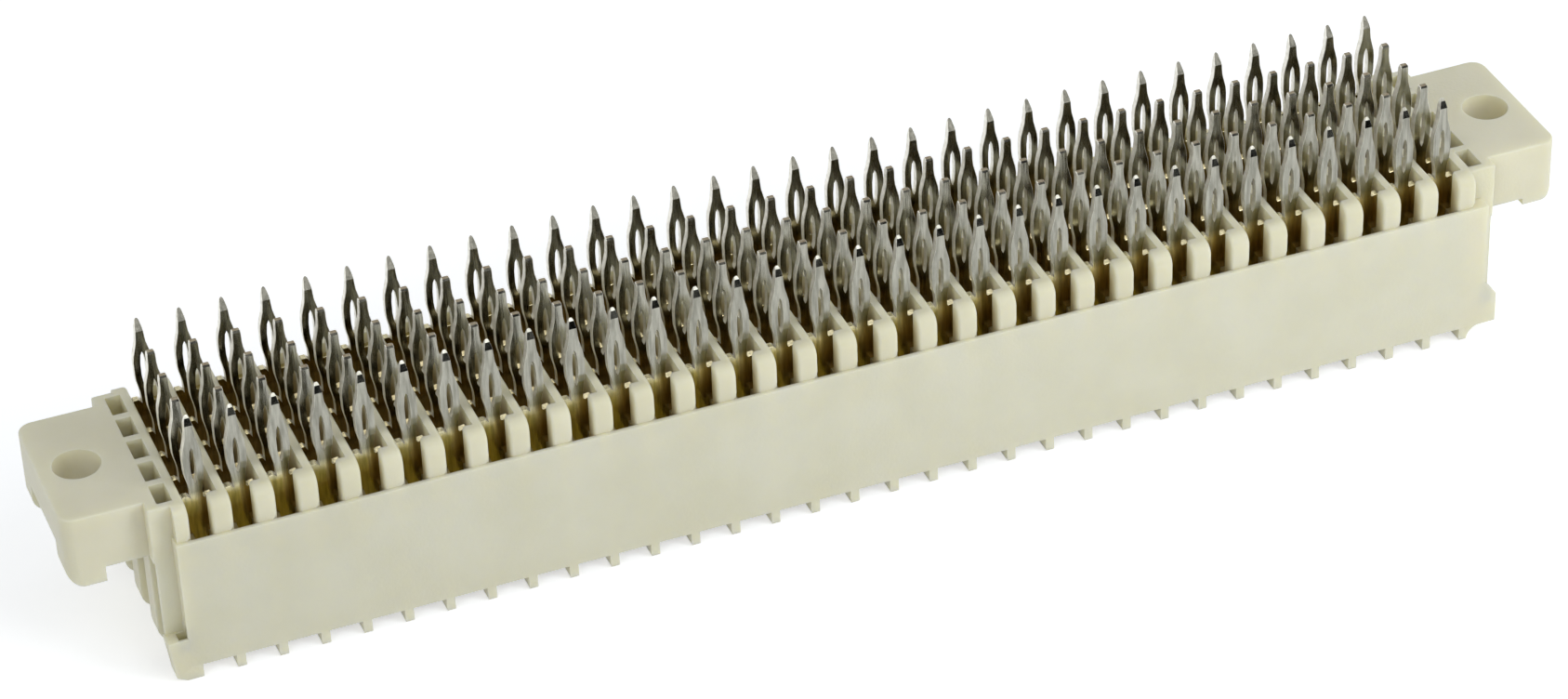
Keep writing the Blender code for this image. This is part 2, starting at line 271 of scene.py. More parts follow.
inner = end_rib + COMB_SHIFT - TOOTH_WIDTH / 2
end_x = panel_right - SEAM_STEP
foot_level = WALL_FOOT - SEAM_STEP
right_outline = [(inner, 0)]
right_outline += quarter((inner + TOOTH_WIDTH + foot_level, 0), foot_level, 180, 90, ROUND_STEPS)
right_outline += [(STRIP_END, foot_level), (STRIP_END, FOOT_TOP)]
right_outline += [(end_x, FOOT_TOP + RIGHT_FOOT_SLOPE), (end_x, SLOT_ROOF + OVERLAP)]
right_outline += [(inner, SLOT_ROOF + OVERLAP)]

left_end = add_profile("left_end", left_outline, WALL_INSIDE, comb_outside)
right_end = add_profile("right_end", right_outline, WALL_INSIDE, comb_outside)
ends = gather([left_end, right_end])
round_edges(ends, EDGE_ROUNDING, EDGE_STEPS,
            lambda edge: edge.calc_face_angle(0) > 0.5
            and (middle(edge).z < WALL_FOOT
                 or not panel_left - OVERLAP < middle(edge).x < panel_right + OVERLAP))
combine(housing, mirror_y(ends), "UNION")


# Strips with pockets, and the screw flanges
# Both ends are part of the moulding: a strip cored out by five pockets, and a flange that
# a screw holds to the board, with a recess below it for the nut.

STRIP_HALF = 0.006
STRIP_FOOT = 0.00805
POCKETS = 5
POCKET_WIDTH = 0.00093
POCKET_WALL = 0.00048
POCKET_DEPTH = 0.0036
FLANGE_HALF = 0.0051
FLANGE_CORNER = 0.0009
LEG_INNER = 0.0451
LEFT_LEG_FOOT = 0.00705
RIGHT_LEG_FOOT = 0.0076
LEG_ROUNDING = 0.001
LEG_ROUNDING_ENDS = (-88, -2)
SOFT_EDGE = 0.00013
SOFT_STEPS = 3
CORNER_STEPS = 6
HOLE_X = 0.045
HOLE_RADIUS = 0.001425
HOLE_SIDES = 48
RECESS_HALF = 0.0028
RECESS_ROOF = 0.00905
RECESS_END = 0.0431

flange_end = cad_high.x
corner_x = flange_end - FLANGE_CORNER
corner_y = FLANGE_HALF - FLANGE_CORNER
plan = [(end_rib, -STRIP_HALF), (STRIP_END, -STRIP_HALF), (STRIP_END, -FLANGE_HALF)]
plan += quarter((corner_x, -corner_y), FLANGE_CORNER, -90, 0, CORNER_STEPS)
plan += quarter((corner_x, corner_y), FLANGE_CORNER, 0, 90, CORNER_STEPS)
plan += [(STRIP_END, FLANGE_HALF), (STRIP_END, STRIP_HALF), (end_rib, STRIP_HALF)]
for side, leg_foot in ((-1, LEFT_LEG_FOOT), (1, RIGHT_LEG_FOOT)):
    corners = [(x, y, leg_foot) for x, y in plan]
    end_piece = add_sheet("end_piece", corners, (0, 0, BOARD_FACE - SEAM_STEP - leg_foot))
    round_edges(end_piece, SOFT_EDGE, SOFT_STEPS,
                lambda edge: runs_along(edge, 2) and abs(middle(edge).y) > FLANGE_HALF + OVERLAP
                and middle(edge).x > end_rib + OVERLAP)
    round_edges(end_piece, SOFT_EDGE, SOFT_STEPS,
                lambda edge: middle(edge).z > BOARD_FACE - OVERLAP / 10
                and middle(edge).x > end_rib + OVERLAP)
    below = add_block("below", (end_rib - OVERLAP, -wall_outside, leg_foot - OVERLAP),
                      (LEG_INNER, wall_outside, STRIP_FOOT))
    combine(end_piece, below, "DIFFERENCE")
    outside = quarter((flange_end - LEG_ROUNDING, leg_foot + LEG_ROUNDING), LEG_ROUNDING,
                      *LEG_ROUNDING_ENDS, ROUND_STEPS)
    outside += [(flange_end + OVERLAP, leg_foot + LEG_ROUNDING), (flange_end + OVERLAP, 0),
                (flange_end - LEG_ROUNDING, 0)]
    combine(end_piece, add_profile("outside", outside, -wall_outside, wall_outside), "DIFFERENCE")
    if side < 0:
        turn_round(end_piece, (-1, 1, 1))
    combine(housing, end_piece, "UNION")

recess = add_block("recess", (RECESS_END, -RECESS_HALF, 0),
                   (flange_end + OVERLAP, RECESS_HALF, RECESS_ROOF))
combine(housing, mirror_x(recess), "DIFFERENCE")

bpy.ops.object.select_all(action="DESELECT")
bpy.ops.mesh.primitive_cylinder_add(vertices=HOLE_SIDES, radius=HOLE_RADIUS, depth=BOARD_FACE,
                                    location=(HOLE_X, 0, BOARD_FACE))
hole = bpy.context.object
bpy.ops.object.transform_apply(location=True, rotation=True, scale=True)
combine(housing, mirror_x(hole), "DIFFERENCE")

pocket_start = end_rib + RIB_WIDTH / 2
pocket_length = (2 * STRIP_HALF - (POCKETS + 1) * POCKET_WALL) / POCKETS
pockets = []
for pocket in range(POCKETS):
    start = POCKET_WALL - STRIP_HALF + pocket * (pocket_length + POCKET_WALL)
    pockets.append(add_block("pocket", (pocket_start, start, BOARD_FACE - POCKET_DEPTH),
                             (pocket_start + POCKET_WIDTH, start + pocket_length,
                              BOARD_FACE + OVERLAP)))
    round_edges(pockets[-1], EDGE_ROUNDING, SOFT_STEPS, lambda edge: runs_along(edge, 2))
combine(housing, mirror_x(gather(pockets)), "DIFFERENCE")


# Fins and lips at the ends of the mating side
# Three upright fins lead the mating half onto the block, and a thin lip beside each wall
# closes the inner side of the groove at its end. Both are part of the moulding.

FIN_END = 0.04245
FIN_THICKNESS = 0.00145
FIN_ROUNDING = 0.0011
FIN_STEPS = 5
LIP_THICKNESS = 0.00025
PIT_LENGTH = 0.0005
PIT_OUTER = 0.0068
PIT_INNER = 0.0061
PIT_SINK = 0.0008
PIT_RISE = 0.00065
PIT_STEP = 0.0003

outer_fin = BLOCK_HALF - FIN_THICKNESS / 2 - SEAM_STEP
fins = []
for centre in (-outer_fin, 0, outer_fin):
    fin = add_block("fin", (-panel_left - 2 * OVERLAP, centre - FIN_THICKNESS / 2,
                            WALL_FOOT + SEAM_STEP),
                    (FIN_END, centre + FIN_THICKNESS / 2, STRIP_FOOT + OVERLAP / 3))
    round_edges(fin, FIN_ROUNDING, FIN_STEPS,
                lambda edge: runs_along(edge, 1) and middle(edge).z < FOOT_TOP
                and middle(edge).x > STRIP_END - OVERLAP)
    round_edges(fin, EDGE_ROUNDING, EDGE_STEPS,
                lambda edge: middle(edge).x > -panel_left and not runs_along(edge, 1))
    fins.append(fin)
combine(housing, mirror_x(gather(fins)), "UNION")

for start, end, drop in ((panel_left - PIT_LENGTH, panel_left + OVERLAP, 0),
                         (panel_right - OVERLAP, panel_right + PIT_LENGTH, PIT_STEP)):
    pit = add_block("pit", (start, -PIT_OUTER, FOOT_TOP - PIT_SINK + drop),
                    (end, -PIT_INNER, FOOT_TOP + PIT_RISE + drop))
    combine(housing, mirror_y(pit), "DIFFERENCE")

lip = add_block("lip", (-panel_left - 2 * OVERLAP, WALL_INSIDE - SEAM_STEP, FOOT_TOP - OVERLAP),
                (FIN_END, WALL_INSIDE + LIP_THICKNESS - SEAM_STEP, STRIP_FOOT + OVERLAP / 3))
round_edges(lip, EDGE_ROUNDING, EDGE_STEPS,
            lambda edge: runs_along(edge, 2) and middle(edge).x > -panel_left)
combine(housing, mirror_y(mirror_x(lip)), "UNION")


# Openings for the contacts
# Holes with a flared mouth in the mating block take the pins of the other half, and slots
# through the floor hold the stems of the two outer rows.

MATING_HOLE_X = 0.0009
MATING_HOLE_Y = 0.0013
MATING_HOLE_DEPTH = 0.0055
MOUTH_FLARE = 0.0002
METAL = 0.00045
STEM_HALF = 0.00045
CONTACT_CLEARANCE = 0.00004
front_row_y = -2 * PITCH + FIELD_SHIFT
rear_row_y = 2 * PITCH + FIELD_SHIFT

mating_holes = []
for row in range(INNER_ROWS):
    y = (row - (INNER_ROWS - 1) / 2) * PITCH
    hole = add_block("mating_hole", (-half_field - MATING_HOLE_X / 2, y - MATING_HOLE_Y / 2,
                                     WALL_FOOT + MOUTH_FLARE),
                     (-half_field + MATING_HOLE_X / 2, y + MATING_HOLE_Y / 2,
                      WALL_FOOT + MATING_HOLE_DEPTH))
    select_parts(hole, "FACE", lambda part: part.normal.z < -0.9)
    bpy.ops.mesh.extrude_region_move(
        TRANSFORM_OT_translate={"value": (0, 0, -2 * MOUTH_FLARE)})
    bpy.ops.transform.resize(value=(1 + 4 * MOUTH_FLARE / MATING_HOLE_X,
                                    1 + 4 * MOUTH_FLARE / MATING_HOLE_Y, 1),
                             center_override=(-half_field, y, 0))
    bpy.ops.object.mode_set(mode="OBJECT")
    mating_holes.append(repeat(hole, COLUMNS, PITCH))
combine(housing, gather(mating_holes), "DIFFERENCE")

reach_x = STEM_HALF + CONTACT_CLEARANCE
reach_y = METAL / 2 + CONTACT_CLEARANCE
openings = []
for inner, outer in ((front_row_y + reach_y, -SKIN_INSIDE), (rear_row_y - reach_y, SKIN_INSIDE)):
    opening = add_block("opening", (-half_field - reach_x, min(inner, outer), SLOT_ROOF - OVERLAP),
                        (-half_field + reach_x, max(inner, outer), CELL_FLOOR + OVERLAP))
    openings.append(repeat(opening, COLUMNS, PITCH))
combine(housing, gather(openings), "DIFFERENCE")


# Ribs between the columns
# Each rib stands on the floor from wall to wall and carries the circuit board on its top.
# Its two ends are broader on one side, rounded over, and show as arches above the panels.

HEAD_WIDTH = 0.00122
HEAD_DEPTH = 0.0011
NOSE_RADIUS = 0.0008
NOSE_STEPS = 7
NOSE_EDGE = 0.0002
NOSE_EDGE_STEPS = 4
NOTCH_START = 0.00002
NOTCH_SINK = 0.0001
NOTCH_RISE = 0.00038
NOTCH_DEPTH = 0.00022

rib_right = -end_rib + RIB_WIDTH / 2
rib_left = -end_rib - RIB_WIDTH / 2
rib_end = deck_half + SEAM_STEP
head_left = rib_right - HEAD_WIDTH
plan = [(rib_right, -rib_end), (rib_right, rib_end), (head_left, rib_end),
        (head_left, rib_end - HEAD_DEPTH), (rib_left, rib_end - HEAD_DEPTH),
        (rib_left, HEAD_DEPTH - rib_end), (head_left, HEAD_DEPTH - rib_end),
        (head_left, -rib_end)]
rib = add_sheet("ribs", [(x, y, CELL_FLOOR - OVERLAP) for x, y in plan],
                (0, 0, BOARD_FACE - CELL_FLOOR + OVERLAP))
round_edges(rib, NOSE_RADIUS, NOSE_STEPS,
            lambda edge: runs_along(edge, 0) and middle(edge).z > BOARD_FACE - OVERLAP
            and abs(middle(edge).y) > deck_half - OVERLAP)
round_edges(rib, NOSE_EDGE, NOSE_EDGE_STEPS,
            lambda edge: not runs_along(edge, 0) and middle(edge).z > CELL_FLOOR
            and edge.is_convex and edge.calc_face_angle(0) > 1.2)
notch = add_profile("notches", [(-end_rib - NOTCH_START, PANEL_TOP - NOTCH_SINK),
                                (-end_rib + RIB_WIDTH, PANEL_TOP - NOTCH_SINK),
                                (-end_rib + RIB_WIDTH, PANEL_TOP + NOTCH_RISE),
                                (-end_rib + RIB_WIDTH / 2, PANEL_TOP + NOTCH_RISE)],
                    -deck_half - OVERLAP / 10, NOTCH_DEPTH - deck_half)
combine(rib, mirror_y(notch), "DIFFERENCE")
repeat(rib, COLUMNS + 1, PITCH)
trim = add_block("trim", (head_left - OVERLAP, -wall_outside, 0),
                 (panel_left + 2 * EDGE_ROUNDING, wall_outside, BOARD_FACE + OVERLAP))
combine(rib, trim, "DIFFERENCE")
combine(housing, rib, "UNION")


# Ivory plastic
# The moulding has a fine matte grain and the slight clouding of a filled plastic, and a little
# light passes into it. Deep in the cells between the ribs the colour is painted darker and warmer,
# as painted shade.

PLASTIC_LIGHT = (0.760, 0.715, 0.540, 1)
PLASTIC_DARK = (0.725, 0.680, 0.500, 1)
# Painted shade for the depths of the cells: a darker, warmer colour in place of the shade that
# falls there.
CELL_PAINTED_SHADE = (0.50, 0.42, 0.22, 1)
CELL_SHADE_FROM = 0.0115
CELL_SHADE_FULL = 0.0104
CELL_SHADE_REACH = 0.00655
PLASTIC_ROUGHNESS = 0.46
CLOUD_SCALE = 260
GRAIN_SCALE = 5200
GRAIN_HEIGHT = 0.000012
GLOW_SHARE = 0.7
GLOW_REACH = (1, 0.95, 0.6)
GLOW_DEPTH = 0.0012
HOUSING_SMOOTH_BELOW = math.radians(25)


def new_material(name):
    """A material with its Principled shader, the node tree and the object's coordinates."""
    material = bpy.data.materials.new(name)
    material.use_nodes = True
    tree = material.node_tree
    shader = tree.nodes["Principled BSDF"]
    place = tree.nodes.new("ShaderNodeTexCoord")
    return material, tree, shader, place.outputs["Object"]


def add_noise(tree, place, scale, detail, stretch=(1, 1, 1)):
    """Noise over the object's coordinates, drawn out along an axis where stretch is small."""
    mapping = tree.nodes.new("ShaderNodeMapping")
    mapping.inputs["Scale"].default_value = stretch
    noise = tree.nodes.new("ShaderNodeTexNoise")
    noise.inputs["Scale"].default_value = scale
    noise.inputs["Detail"].default_value = detail
    tree.links.new(place, mapping.inputs["Vector"])
    tree.links.new(mapping.outputs["Vector"], noise.inputs["Vector"])
    return noise.outputs["Fac"]


def add_ramp(tree, value, low, high, first, second):
    """A change from one colour to another between two values."""
    ramp = tree.nodes.new("ShaderNodeValToRGB")
    ramp.color_ramp.elements[0].position = low
    ramp.color_ramp.elements[0].color = first
    ramp.color_ramp.elements[1].position = high
    ramp.color_ramp.elements[1].color = second
    tree.links.new(value, ramp.inputs["Fac"])
    return ramp.outputs["Color"]


def add_fade(tree, value, start, end):
    """A share that goes from 0 at the start value to 1 at the end value."""
    fade = tree.nodes.new("ShaderNodeMapRange")
    fade.inputs["From Min"].default_value = start
    fade.inputs["From Max"].default_value = end
    tree.links.new(value, fade.inputs["Value"])
    return fade.outputs["Result"]


def calculate(tree, operation, *values):
    """One step of arithmetic on one or two values."""
    step = tree.nodes.new("ShaderNodeMath")
    step.operation = operation
    for value, socket in zip(values, step.inputs):
        tree.links.new(value, socket)
    return step.outputs["Value"]


def add_blend(tree, share, first, second):
    """The first colour's output where the share is 0, and the second colour where it is 1."""
    blend = tree.nodes.new("ShaderNodeMix")
    blend.data_type = "RGBA"
    sockets = {socket.name: socket for socket in blend.inputs if socket.enabled}
    tree.links.new(share, sockets["Factor"])
    tree.links.new(first, sockets["A"])
    sockets["B"].default_value = second
    return [socket for socket in blend.outputs if socket.enabled][0]


def add_bump(tree, value, distance, shader):
    """Small hills on the shader's surface where the value is high."""
    bump = tree.nodes.new("ShaderNodeBump")
    bump.inputs["Distance"].default_value = distance
    tree.links.new(value, bump.inputs["Height"])
    tree.links.new(bump.outputs["Normal"], shader.inputs["Normal"])


plastic, tree, shader, place = new_material("ivory_plastic")
clouds = add_noise(tree, place, CLOUD_SCALE, 4)
colour = add_ramp(tree, clouds, 0.35, 0.65, PLASTIC_DARK, PLASTIC_LIGHT)
spot = tree.nodes.new("ShaderNodeSeparateXYZ")
tree.links.new(place, spot.inputs["Vector"])
# Painted shade mask: strongest low inside the cells between the ribs, none near the top, outside
# the cells or below the slot roof.
painted_shade = add_fade(tree, spot.outputs["Z"], CELL_SHADE_FROM, CELL_SHADE_FULL)
for output, edge, width in (("X", end_rib, OVERLAP), ("Y", CELL_SHADE_REACH, 2 * OVERLAP)):
    off_middle = calculate(tree, "ABSOLUTE", spot.outputs[output])
    painted_shade = calculate(tree, "MULTIPLY", painted_shade, add_fade(tree, off_middle, edge, edge - width))
above_floor = add_fade(tree, spot.outputs["Z"], SLOT_ROOF, SLOT_ROOF + OVERLAP)
painted_shade = calculate(tree, "MULTIPLY", painted_shade, above_floor)
tree.links.new(add_blend(tree, painted_shade, colour, CELL_PAINTED_SHADE), shader.inputs["Base Color"])
add_bump(tree, add_noise(tree, place, GRAIN_SCALE, 3), GRAIN_HEIGHT, shader)
shader.inputs["Roughness"].default_value = PLASTIC_ROUGHNESS
shader.inputs["IOR"].default_value = 1.5
shader.inputs["Subsurface Weight"].default_value = GLOW_SHARE
shader.inputs["Subsurface Radius"].default_value = GLOW_REACH
shader.inputs["Subsurface Scale"].default_value = GLOW_DEPTH

housing.data.materials.clear()
housing.data.materials.append(plastic)
only(housing)
bpy.ops.object.shade_smooth_by_angle(angle=HOUSING_SMOOTH_BELOW)
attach(housing, "root")
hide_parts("housing")


# Contacts of the front row
# Bronze strip, stamped, slit, coined and bent, and pressed into the floor from the board side.
# The tails are tin plated down to their lugs, and the slit eye grips in the board's hole.

NECK_HALF = 0.000262
EYE_HALF = 0.000575
ROOT_HALF = 0.00036
EYE_STARTS = 0.001
EYE_FULL = 0.0028
EYE_FALLS = 0.0037
EYE_ENDS = 0.0052
SHOULDER_DROP = 0.0056
BLADE_HALF = 0.00095
LUG_RISE = 0.0002
LUG_ROUNDING = 0.00006
SLIT_HALF = 0.00018
SLIT_TOP = 0.0021
SLIT_FOOT = 0.0046
SLIT_SIDES = 10
SIDE_STEPS = 4
STAMPED_EDGE = 0.000045
CUT_GRIP = 0.0000005
LEG_BEND = 0.0052
LEG_FOOT = 0.0016
LEG_BACK = 0.006275
LEG_BOW = 0.00535
POINTED_TIP = ((0.00005, 0), (0.00011, 0.00007), (0.00016, 0.0002), (0.000225, 0.0005))
FRONT_COINING = ((-1, 0.0006, math.radians(21)), (1, 0.0004, math.radians(19)),
                 (-1, 0.00035, math.radians(42)))

outer_tip = cad_high.z


def eased(first, last, share):
    """A value on a soft curve from the first to the last."""
    return first + (last - first) * (0.5 - 0.5 * math.cos(math.pi * share))


def tail_side(tip_shape, lift):
    """Half widths of the tail by the drop from its tip, from the tip to the shoulder."""
    points = list(tip_shape)
    for first, last, start, end in ((NECK_HALF, EYE_HALF, EYE_STARTS, EYE_FULL),
                                    (EYE_HALF, ROOT_HALF, EYE_FALLS, EYE_ENDS)):
        for step in range(SIDE_STEPS + 1):
            share = step / SIDE_STEPS
            points.append((eased(first, last, share), start + (end - start) * share - lift))
    return points + [(ROOT_HALF, SHOULDER_DROP)]


def contact_outline(tip, tip_shape, lift, foot, with_stem):
    """The contact as it is stamped, with its lugs, about its own middle line."""
    shoulder = tip - SHOULDER_DROP
    right = [(half, tip - drop) for half, drop in tail_side(tip_shape, lift)]
    left = [(-half, height) for half, height in right]
    right += [(ROOT_HALF + LUG_ROUNDING, shoulder - LUG_ROUNDING)]
    right += [(BLADE_HALF - 2 * LUG_ROUNDING, shoulder), (BLADE_HALF, shoulder - 2 * LUG_ROUNDING)]
    left += [(-ROOT_HALF - LUG_ROUNDING, shoulder + LUG_RISE / 2)]
    left += [(-ROOT_HALF - 3 * LUG_ROUNDING, shoulder + LUG_RISE)]
    left += [(2 * LUG_ROUNDING - BLADE_HALF, shoulder + LUG_RISE), (-BLADE_HALF, shoulder)]
    below = [(BLADE_HALF, foot)]
    turned = [(-BLADE_HALF, foot)]
    if with_stem:
        below += [(STEM_HALF, foot), (STEM_HALF, SLOT_ROOF - METAL)]
        turned = [(-STEM_HALF, SLOT_ROOF - METAL), (-STEM_HALF, foot)] + turned
    return right + below + turned + left[::-1]


def add_contact(name, y, tip, tip_shape, lift, coining, foot, with_stem):
    """The first contact of a row, with its slit, tip and stamped edges, but still flat."""
    outline = contact_outline(tip, tip_shape, lift, foot, with_stem)
    outline = [(x - half_field, z) for x, z in outline]
    contact = add_profile(name, outline, y - METAL / 2, y + METAL / 2)
    middle_drop = (SLIT_TOP + SLIT_FOOT) / 2 - lift
    slit = []
    for step in range(SLIT_SIDES):
        angle = 2 * math.pi * step / SLIT_SIDES
        slit.append((SLIT_HALF * math.sin(angle) - half_field,
                     tip - middle_drop + (SLIT_FOOT - SLIT_TOP) / 2 * math.cos(angle)))
    combine(contact, add_profile("slit", slit, y - METAL, y + METAL), "DIFFERENCE")
    for face, drop, slant in coining:
        only(contact)
        bpy.ops.object.mode_set(mode="EDIT")
        bpy.ops.mesh.select_all(action="SELECT")
        bpy.ops.mesh.bisect(plane_co=(0, y + face * METAL / 2, tip - drop),
                            plane_no=(0, face * math.cos(slant), math.sin(slant)),
                            clear_outer=True, use_fill=True, threshold=CUT_GRIP)
        bpy.ops.object.mode_set(mode="OBJECT")
    round_edges(contact, STAMPED_EDGE, 1,
                lambda edge: not runs_along(edge, 1) and edge.calc_face_angle(0) > 1.2
                and middle(edge).z > foot and abs(middle(edge).x + half_field) > SLIT_HALF)
    return contact


def bend_leg(contact, y, face):
    """Draw the stem's foot out to its channel, and from there back towards the slot."""
    at_y = y
    at_z = SLOT_ROOF - METAL
    for next_y, next_z in ((face * LEG_BACK, LEG_BEND), (face * LEG_BOW, LEG_FOOT)):
        select_parts(contact, "FACE", lambda part: middle(part).z < at_z + OVERLAP / 10
                     and part.normal.z < -0.9)
        bpy.ops.mesh.extrude_region_move(
            TRANSFORM_OT_translate={"value": (0, next_y - at_y, next_z - at_z)})
        bpy.ops.object.mode_set(mode="OBJECT")
        at_y = next_y
        at_z = next_z


# Tin above, bare bronze below the plating; the bronze is painted darker towards the foot of the
# blade, as painted shade in the depth of the cell.
TIN = (0.41, 0.40, 0.34, 1)
THIN_TIN = (0.36, 0.345, 0.24, 1)
BRONZE = (0.98, 0.88, 0.55, 1)
SHADED_BARE_BRONZE = (0.62, 0.47, 0.22, 1)
STREAK_SHADE = (0.62, 0.62, 0.61, 1)
TIN_FROM = 0.0122
SHADED_BRONZE_BELOW = 0.0098
BRONZE_AT = 0.46
THIN_TIN_AT = 0.7
GLOSSY_TIN = (0.10, 0.10, 0.10, 1)
DULL_TIN = (0.22, 0.22, 0.22, 1)
DULLING_SCALE = 900
STREAK_SCALE = 5200
STREAK_STRETCH = (1, 1, 0.12)
STREAK_HEIGHT = 0.000007
TEAR_SCALE = 3000
TEAR_HEIGHT = 0.000004
STAMPED_ROUGHNESS = 0.5
SHEARED_SCALE = 5200
SHEARED_ROUGHNESS = 0.42
CONTACT_SMOOTH_BELOW = math.radians(18)
EDGE_LIGHT = (0.92, 0.90, 0.83, 1)
EDGE_GREY = (0.74, 0.72, 0.65, 1)
SHEARED_LIGHT = (0.32, 0.29, 0.21, 1)
SHEARED_DARK = (0.23, 0.18, 0.12, 1)

tin, tree, shader, place = new_material("tin_plating")
streaks = add_noise(tree, place, STREAK_SCALE, 4, STREAK_STRETCH)
shade = add_ramp(tree, streaks, 0.35, 0.65, STREAK_SHADE, (1, 1, 1, 1))
spot = tree.nodes.new("ShaderNodeSeparateXYZ")
tree.links.new(place, spot.inputs["Vector"])
# Colour by height: painted shade darkens the bronze at the foot of the blade, then bronze and thin
# tin between, and tin on the tails.
height = add_fade(tree, spot.outputs["Z"], SHADED_BRONZE_BELOW, TIN_FROM)
skin = add_ramp(tree, height, 0, 1, SHADED_BARE_BRONZE, TIN)
for position, tone in ((BRONZE_AT, BRONZE), (THIN_TIN_AT, THIN_TIN)):
    skin.node.color_ramp.elements.new(position).color = tone
shaded = tree.nodes.new("ShaderNodeVectorMath")
shaded.operation = "MULTIPLY"
tree.links.new(skin, shaded.inputs[0])
tree.links.new(shade, shaded.inputs[1])
tree.links.new(shaded.outputs[0], shader.inputs["Base Color"])
dull = add_ramp(tree, add_noise(tree, place, DULLING_SCALE, 2), 0.3, 0.7, GLOSSY_TIN, DULL_TIN)
tree.links.new(dull, shader.inputs["Roughness"])
add_bump(tree, streaks, STREAK_HEIGHT, shader)
shader.inputs["Metallic"].default_value = 1

stamped, tree, shader, place = new_material("stamped_edge")
tears = add_noise(tree, place, TEAR_SCALE, 3)
colour = add_ramp(tree, tears, 0.35, 0.65, EDGE_GREY, EDGE_LIGHT)
tree.links.new(colour, shader.inputs["Base Color"])
add_bump(tree, tears, TEAR_HEIGHT, shader)
shader.inputs["Metallic"].default_value = 1
shader.inputs["Roughness"].default_value = STAMPED_ROUGHNESS

bronze, tree, shader, place = new_material("sheared_bronze")
grains = add_noise(tree, place, SHEARED_SCALE, 2)
colour = add_ramp(tree, grains, 0.35, 0.65, SHEARED_DARK, SHEARED_LIGHT)
tree.links.new(colour, shader.inputs["Base Color"])
shader.inputs["Metallic"].default_value = 1
shader.inputs["Roughness"].default_value = SHEARED_ROUGHNESS


def finish_contact(contact, cut_top):
    """Tin on the rolled faces, a torn skin on the stamped edges, bronze on a sheared top."""
    for material in (tin, stamped, bronze):
        contact.data.materials.append(material)
    for part in contact.data.polygons:
        if abs(part.normal.x) > 0.6 and part.center.z > CELL_FLOOR:
            part.material_index = 1
        if part.center.z > cut_top and part.normal.z > 0.7:
            part.material_index = 2
    only(contact)
    bpy.ops.object.shade_smooth_by_angle(angle=CONTACT_SMOOTH_BELOW)


first = add_contact("front_pin_01", front_row_y, outer_tip, POINTED_TIP, 0, FRONT_COINING,
                    CELL_FLOOR + CONTACT_CLEARANCE, True)
bend_leg(first, front_row_y, -1)
finish_contact(first, outer_tip)
front_row = [first]
for column in range(1, COLUMNS):
    only(first)
    bpy.ops.object.duplicate(linked=False)
    bpy.ops.transform.translate(value=(column * PITCH, 0, 0))
    bpy.ops.object.transform_apply(location=True, rotation=False, scale=False)
    bpy.context.object.name = f"front_pin_{column + 1:02d}"
    front_row.append(bpy.context.object)
for column, contact in enumerate(front_row):
    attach(contact, "root")
    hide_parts(f"front_contact_{column + 1:02d}")


# Contacts of the four rows behind
# The same stampings. The inner three rows end lower with a square-cut tip, and the back row
# is like the front row with its spring to the back wall.

INNER_TIP_DROP = 0.0005
INNER_LIFT = 0.00025
SQUARE_TIP = ((0.0002, 0), (0.00024, 0.00005), (0.000258, 0.0004))
INNER_COINING = ((-1, 0.00012, math.radians(30)), (1, 0.0003, math.radians(20)))
BACK_COINING = ((-1, 0.00068, math.radians(32)),)

for row in range(1, INNER_ROWS + 2):
    y = front_row_y + row * PITCH
    at_back = row > INNER_ROWS
    if at_back:
        tip = outer_tip
        contact = add_contact("row_5_pins", y, tip, POINTED_TIP, 0, BACK_COINING,
                              CELL_FLOOR - OVERLAP / 3, True)
        bend_leg(contact, y, 1)
    else:
        tip = outer_tip - INNER_TIP_DROP
        contact = add_contact(f"row_{row + 1}_pins", y, tip, SQUARE_TIP, INNER_LIFT, INNER_COINING,
                              CELL_FLOOR - OVERLAP / 3, False)
    finish_contact(contact, tip - OVERLAP / 10)
    repeat(contact, COLUMNS, PITCH)
    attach(contact, "root")


# Floor and surroundings
# A pale floor that runs out of sight, a white surrounding, and a dark card behind the camera
# that bright metal mirrors. None of them belongs to the object.

FLOOR_SIZE = 8
FLOOR_DROP = 0.00003
FLOOR_COLOUR = (0.86, 0.86, 0.86, 1)
FLOOR_GLOW = 0.5
CARD_SIZE = 3.2
CARD_DISTANCE = 1.6
CARD_TOP = 0.80
CARD_COLOUR = (0.01, 0.01, 0.009, 1)
SKY_LIGHT = (0.43, 0.449, 0.47, 1)


def seen_rays(tree):
    """1 for rays that show the surroundings as a picture, 0 for rays that carry light."""
    path = tree.nodes.new("ShaderNodeLightPath")
    last = path.outputs["Is Camera Ray"]
    for kind in ("Is Glossy Ray", "Is Transmission Ray"):
        larger = tree.nodes.new("ShaderNodeMath")
        larger.operation = "MAXIMUM"
        tree.links.new(last, larger.inputs[0])
        tree.links.new(path.outputs[kind], larger.inputs[1])
        last = larger.outputs[0]
    return last


def add_plane(name, size, place, turn):
    """A flat square that belongs to the stage."""
    bpy.ops.object.select_all(action="DESELECT")
    bpy.ops.mesh.primitive_plane_add(size=size, location=place, rotation=turn)
    plane = bpy.context.object
    plane.name = name
    return plane


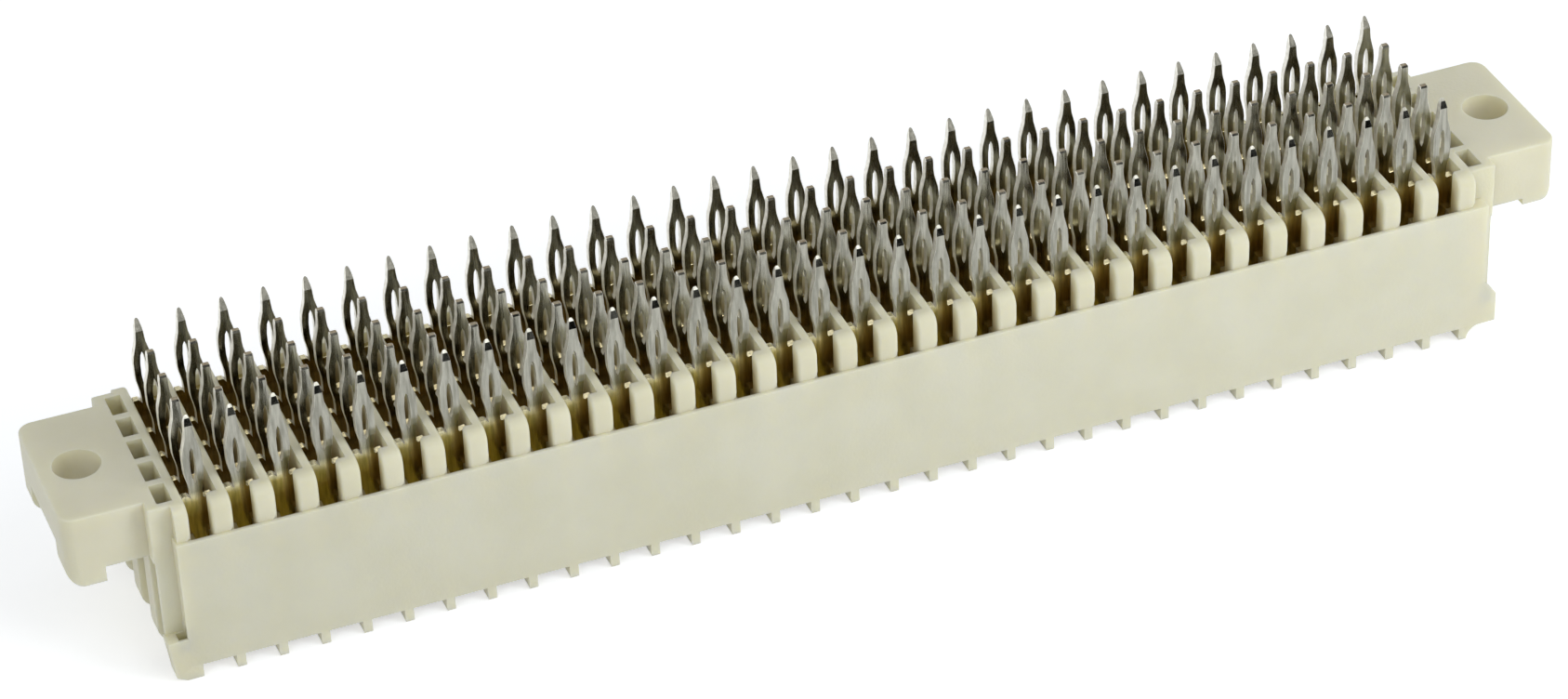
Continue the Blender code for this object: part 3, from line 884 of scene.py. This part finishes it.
floor = add_plane("floor", FLOOR_SIZE, (0, 0, -FLOOR_DROP), (0, 0, 0))
surface = bpy.data.materials.new("floor_white")
surface.use_nodes = True
tree = surface.node_tree
tree.nodes.clear()
diffuse = tree.nodes.new("ShaderNodeBsdfDiffuse")
diffuse.inputs["Color"].default_value = FLOOR_COLOUR
glow = tree.nodes.new("ShaderNodeEmission")
scaled = tree.nodes.new("ShaderNodeMath")
scaled.operation = "MULTIPLY"
scaled.inputs[1].default_value = FLOOR_GLOW
both = tree.nodes.new("ShaderNodeAddShader")
result = tree.nodes.new("ShaderNodeOutputMaterial")
tree.links.new(seen_rays(tree), scaled.inputs[0])
tree.links.new(scaled.outputs[0], glow.inputs["Strength"])
tree.links.new(diffuse.outputs[0], both.inputs[0])
tree.links.new(glow.outputs[0], both.inputs[1])
tree.links.new(both.outputs[0], result.inputs["Surface"])
floor.data.materials.append(surface)

card = add_plane("dark_card", CARD_SIZE, (0, -CARD_DISTANCE, CARD_TOP - CARD_SIZE / 2),
                 (math.radians(90), 0, 0))
card.visible_camera = False
card.visible_shadow = False
card_surface = bpy.data.materials.new("card_black")
card_surface.use_nodes = True
shader = card_surface.node_tree.nodes["Principled BSDF"]
shader.inputs["Base Color"].default_value = CARD_COLOUR
shader.inputs["Specular IOR Level"].default_value = 0
card.data.materials.append(card_surface)

world = bpy.data.worlds.new("surroundings")
bpy.context.scene.world = world
world.use_nodes = True
tree = world.node_tree
sky = add_ramp(tree, seen_rays(tree), 0, 1, SKY_LIGHT, (1, 1, 1, 1))
tree.links.new(sky, tree.nodes["Background"].inputs["Color"])


# Lamps and camera
# Three soft lamps, at the left, low at the right and high in front, and the photo's camera.

LAMP_COLOUR = (0.915, 0.955, 1.0)


def add_lamp(name, place, size, power):
    """A round lamp that shines at the object."""
    bpy.ops.object.select_all(action="DESELECT")
    bpy.ops.object.light_add(type="AREA", location=place)
    lamp = bpy.context.object
    lamp.name = name
    lamp.data.shape = "DISK"
    lamp.data.size = size
    lamp.data.energy = power
    lamp.data.color = LAMP_COLOUR
    lamp.rotation_mode = "QUATERNION"
    lamp.rotation_quaternion = (-Vector(place)).to_track_quat("-Z", "Y")
    return lamp


low_right = add_lamp("low_right", place=(0.25, -0.25, 0.15), size=0.2, power=0.65)
low_right.visible_glossy = False
add_lamp("wide_left", place=(-0.90, -0.85, 0.55), size=0.7, power=4.3)
add_lamp("high_front", place=(0.22, -0.585, 0.69), size=0.4, power=0.85)

camera = bpy.data.cameras.new("camera")
camera.sensor_width = 36
camera.lens = 115.48
camera.clip_start = 0.01
camera.clip_end = 20
eye = bpy.data.objects.new("camera", camera)
bpy.context.scene.collection.objects.link(eye)
eye.location = (-0.086834, -0.229562, 0.181949)
eye.rotation_mode = "QUATERNION"
right = Vector((0.92900, -0.36864, -0.03254))
up = Vector((0.23910, 0.53078, 0.81308))
back = Vector((-0.28246, -0.76314, 0.58124))
turn = Matrix((right, up, back)).transposed()
eye.rotation_quaternion = turn.to_quaternion()
bpy.context.scene.camera = eye

bpy.context.scene.view_settings.view_transform = "Standard"
